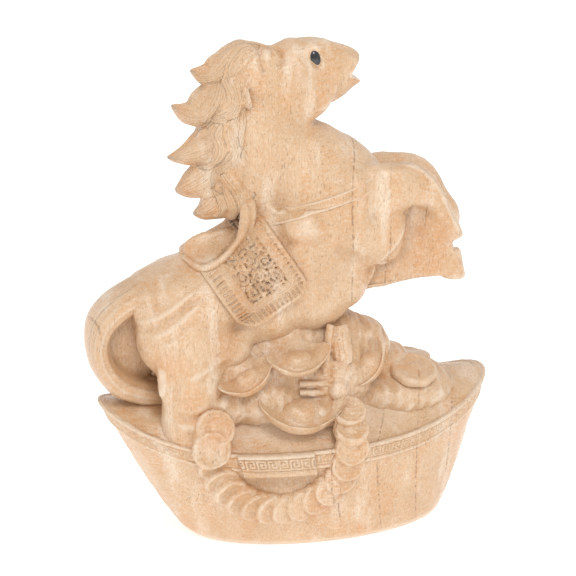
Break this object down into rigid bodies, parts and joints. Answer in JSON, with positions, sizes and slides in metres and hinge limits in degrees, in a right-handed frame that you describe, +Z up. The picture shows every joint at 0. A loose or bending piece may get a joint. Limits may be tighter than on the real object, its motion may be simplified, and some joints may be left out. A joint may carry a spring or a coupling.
{
  "type": "carved figurine",
  "caption": "Carved wooden figurine of a rearing horse with saddle and flowing mane, on a boat-shaped gold ingot heaped with coins and draped with a string of coins.",
  "frame": {"origin": "in the flat bottom face of the ingot, below the middle of its rim", "axes": "+X is the way the horse faces along the ingot, +Y is to its far side, +Z is up"},
  "size_m": [0.0895, 0.042, 0.1101],
  "materials": {
    "carved_wood": "hand-rubbed satin",
    "eye_bead": "polished black"
  },
  "bodies": {
    "root": {"ingot_base": "carved_wood", "rim_band": "carved_wood", "horse": "carved_wood", "mane": "carved_wood", "tail": "carved_wood", "saddle": "carved_wood", "saddle_cloth": "carved_wood", "breast_strap": "carved_wood", "treasure_mound": "carved_wood", "small_ingots": "carved_wood", "loose_coins": "carved_wood", "coin_string": "carved_wood", "near_eye": "eye_bead", "far_eye": "eye_bead"}
  },
  "joints": []
}
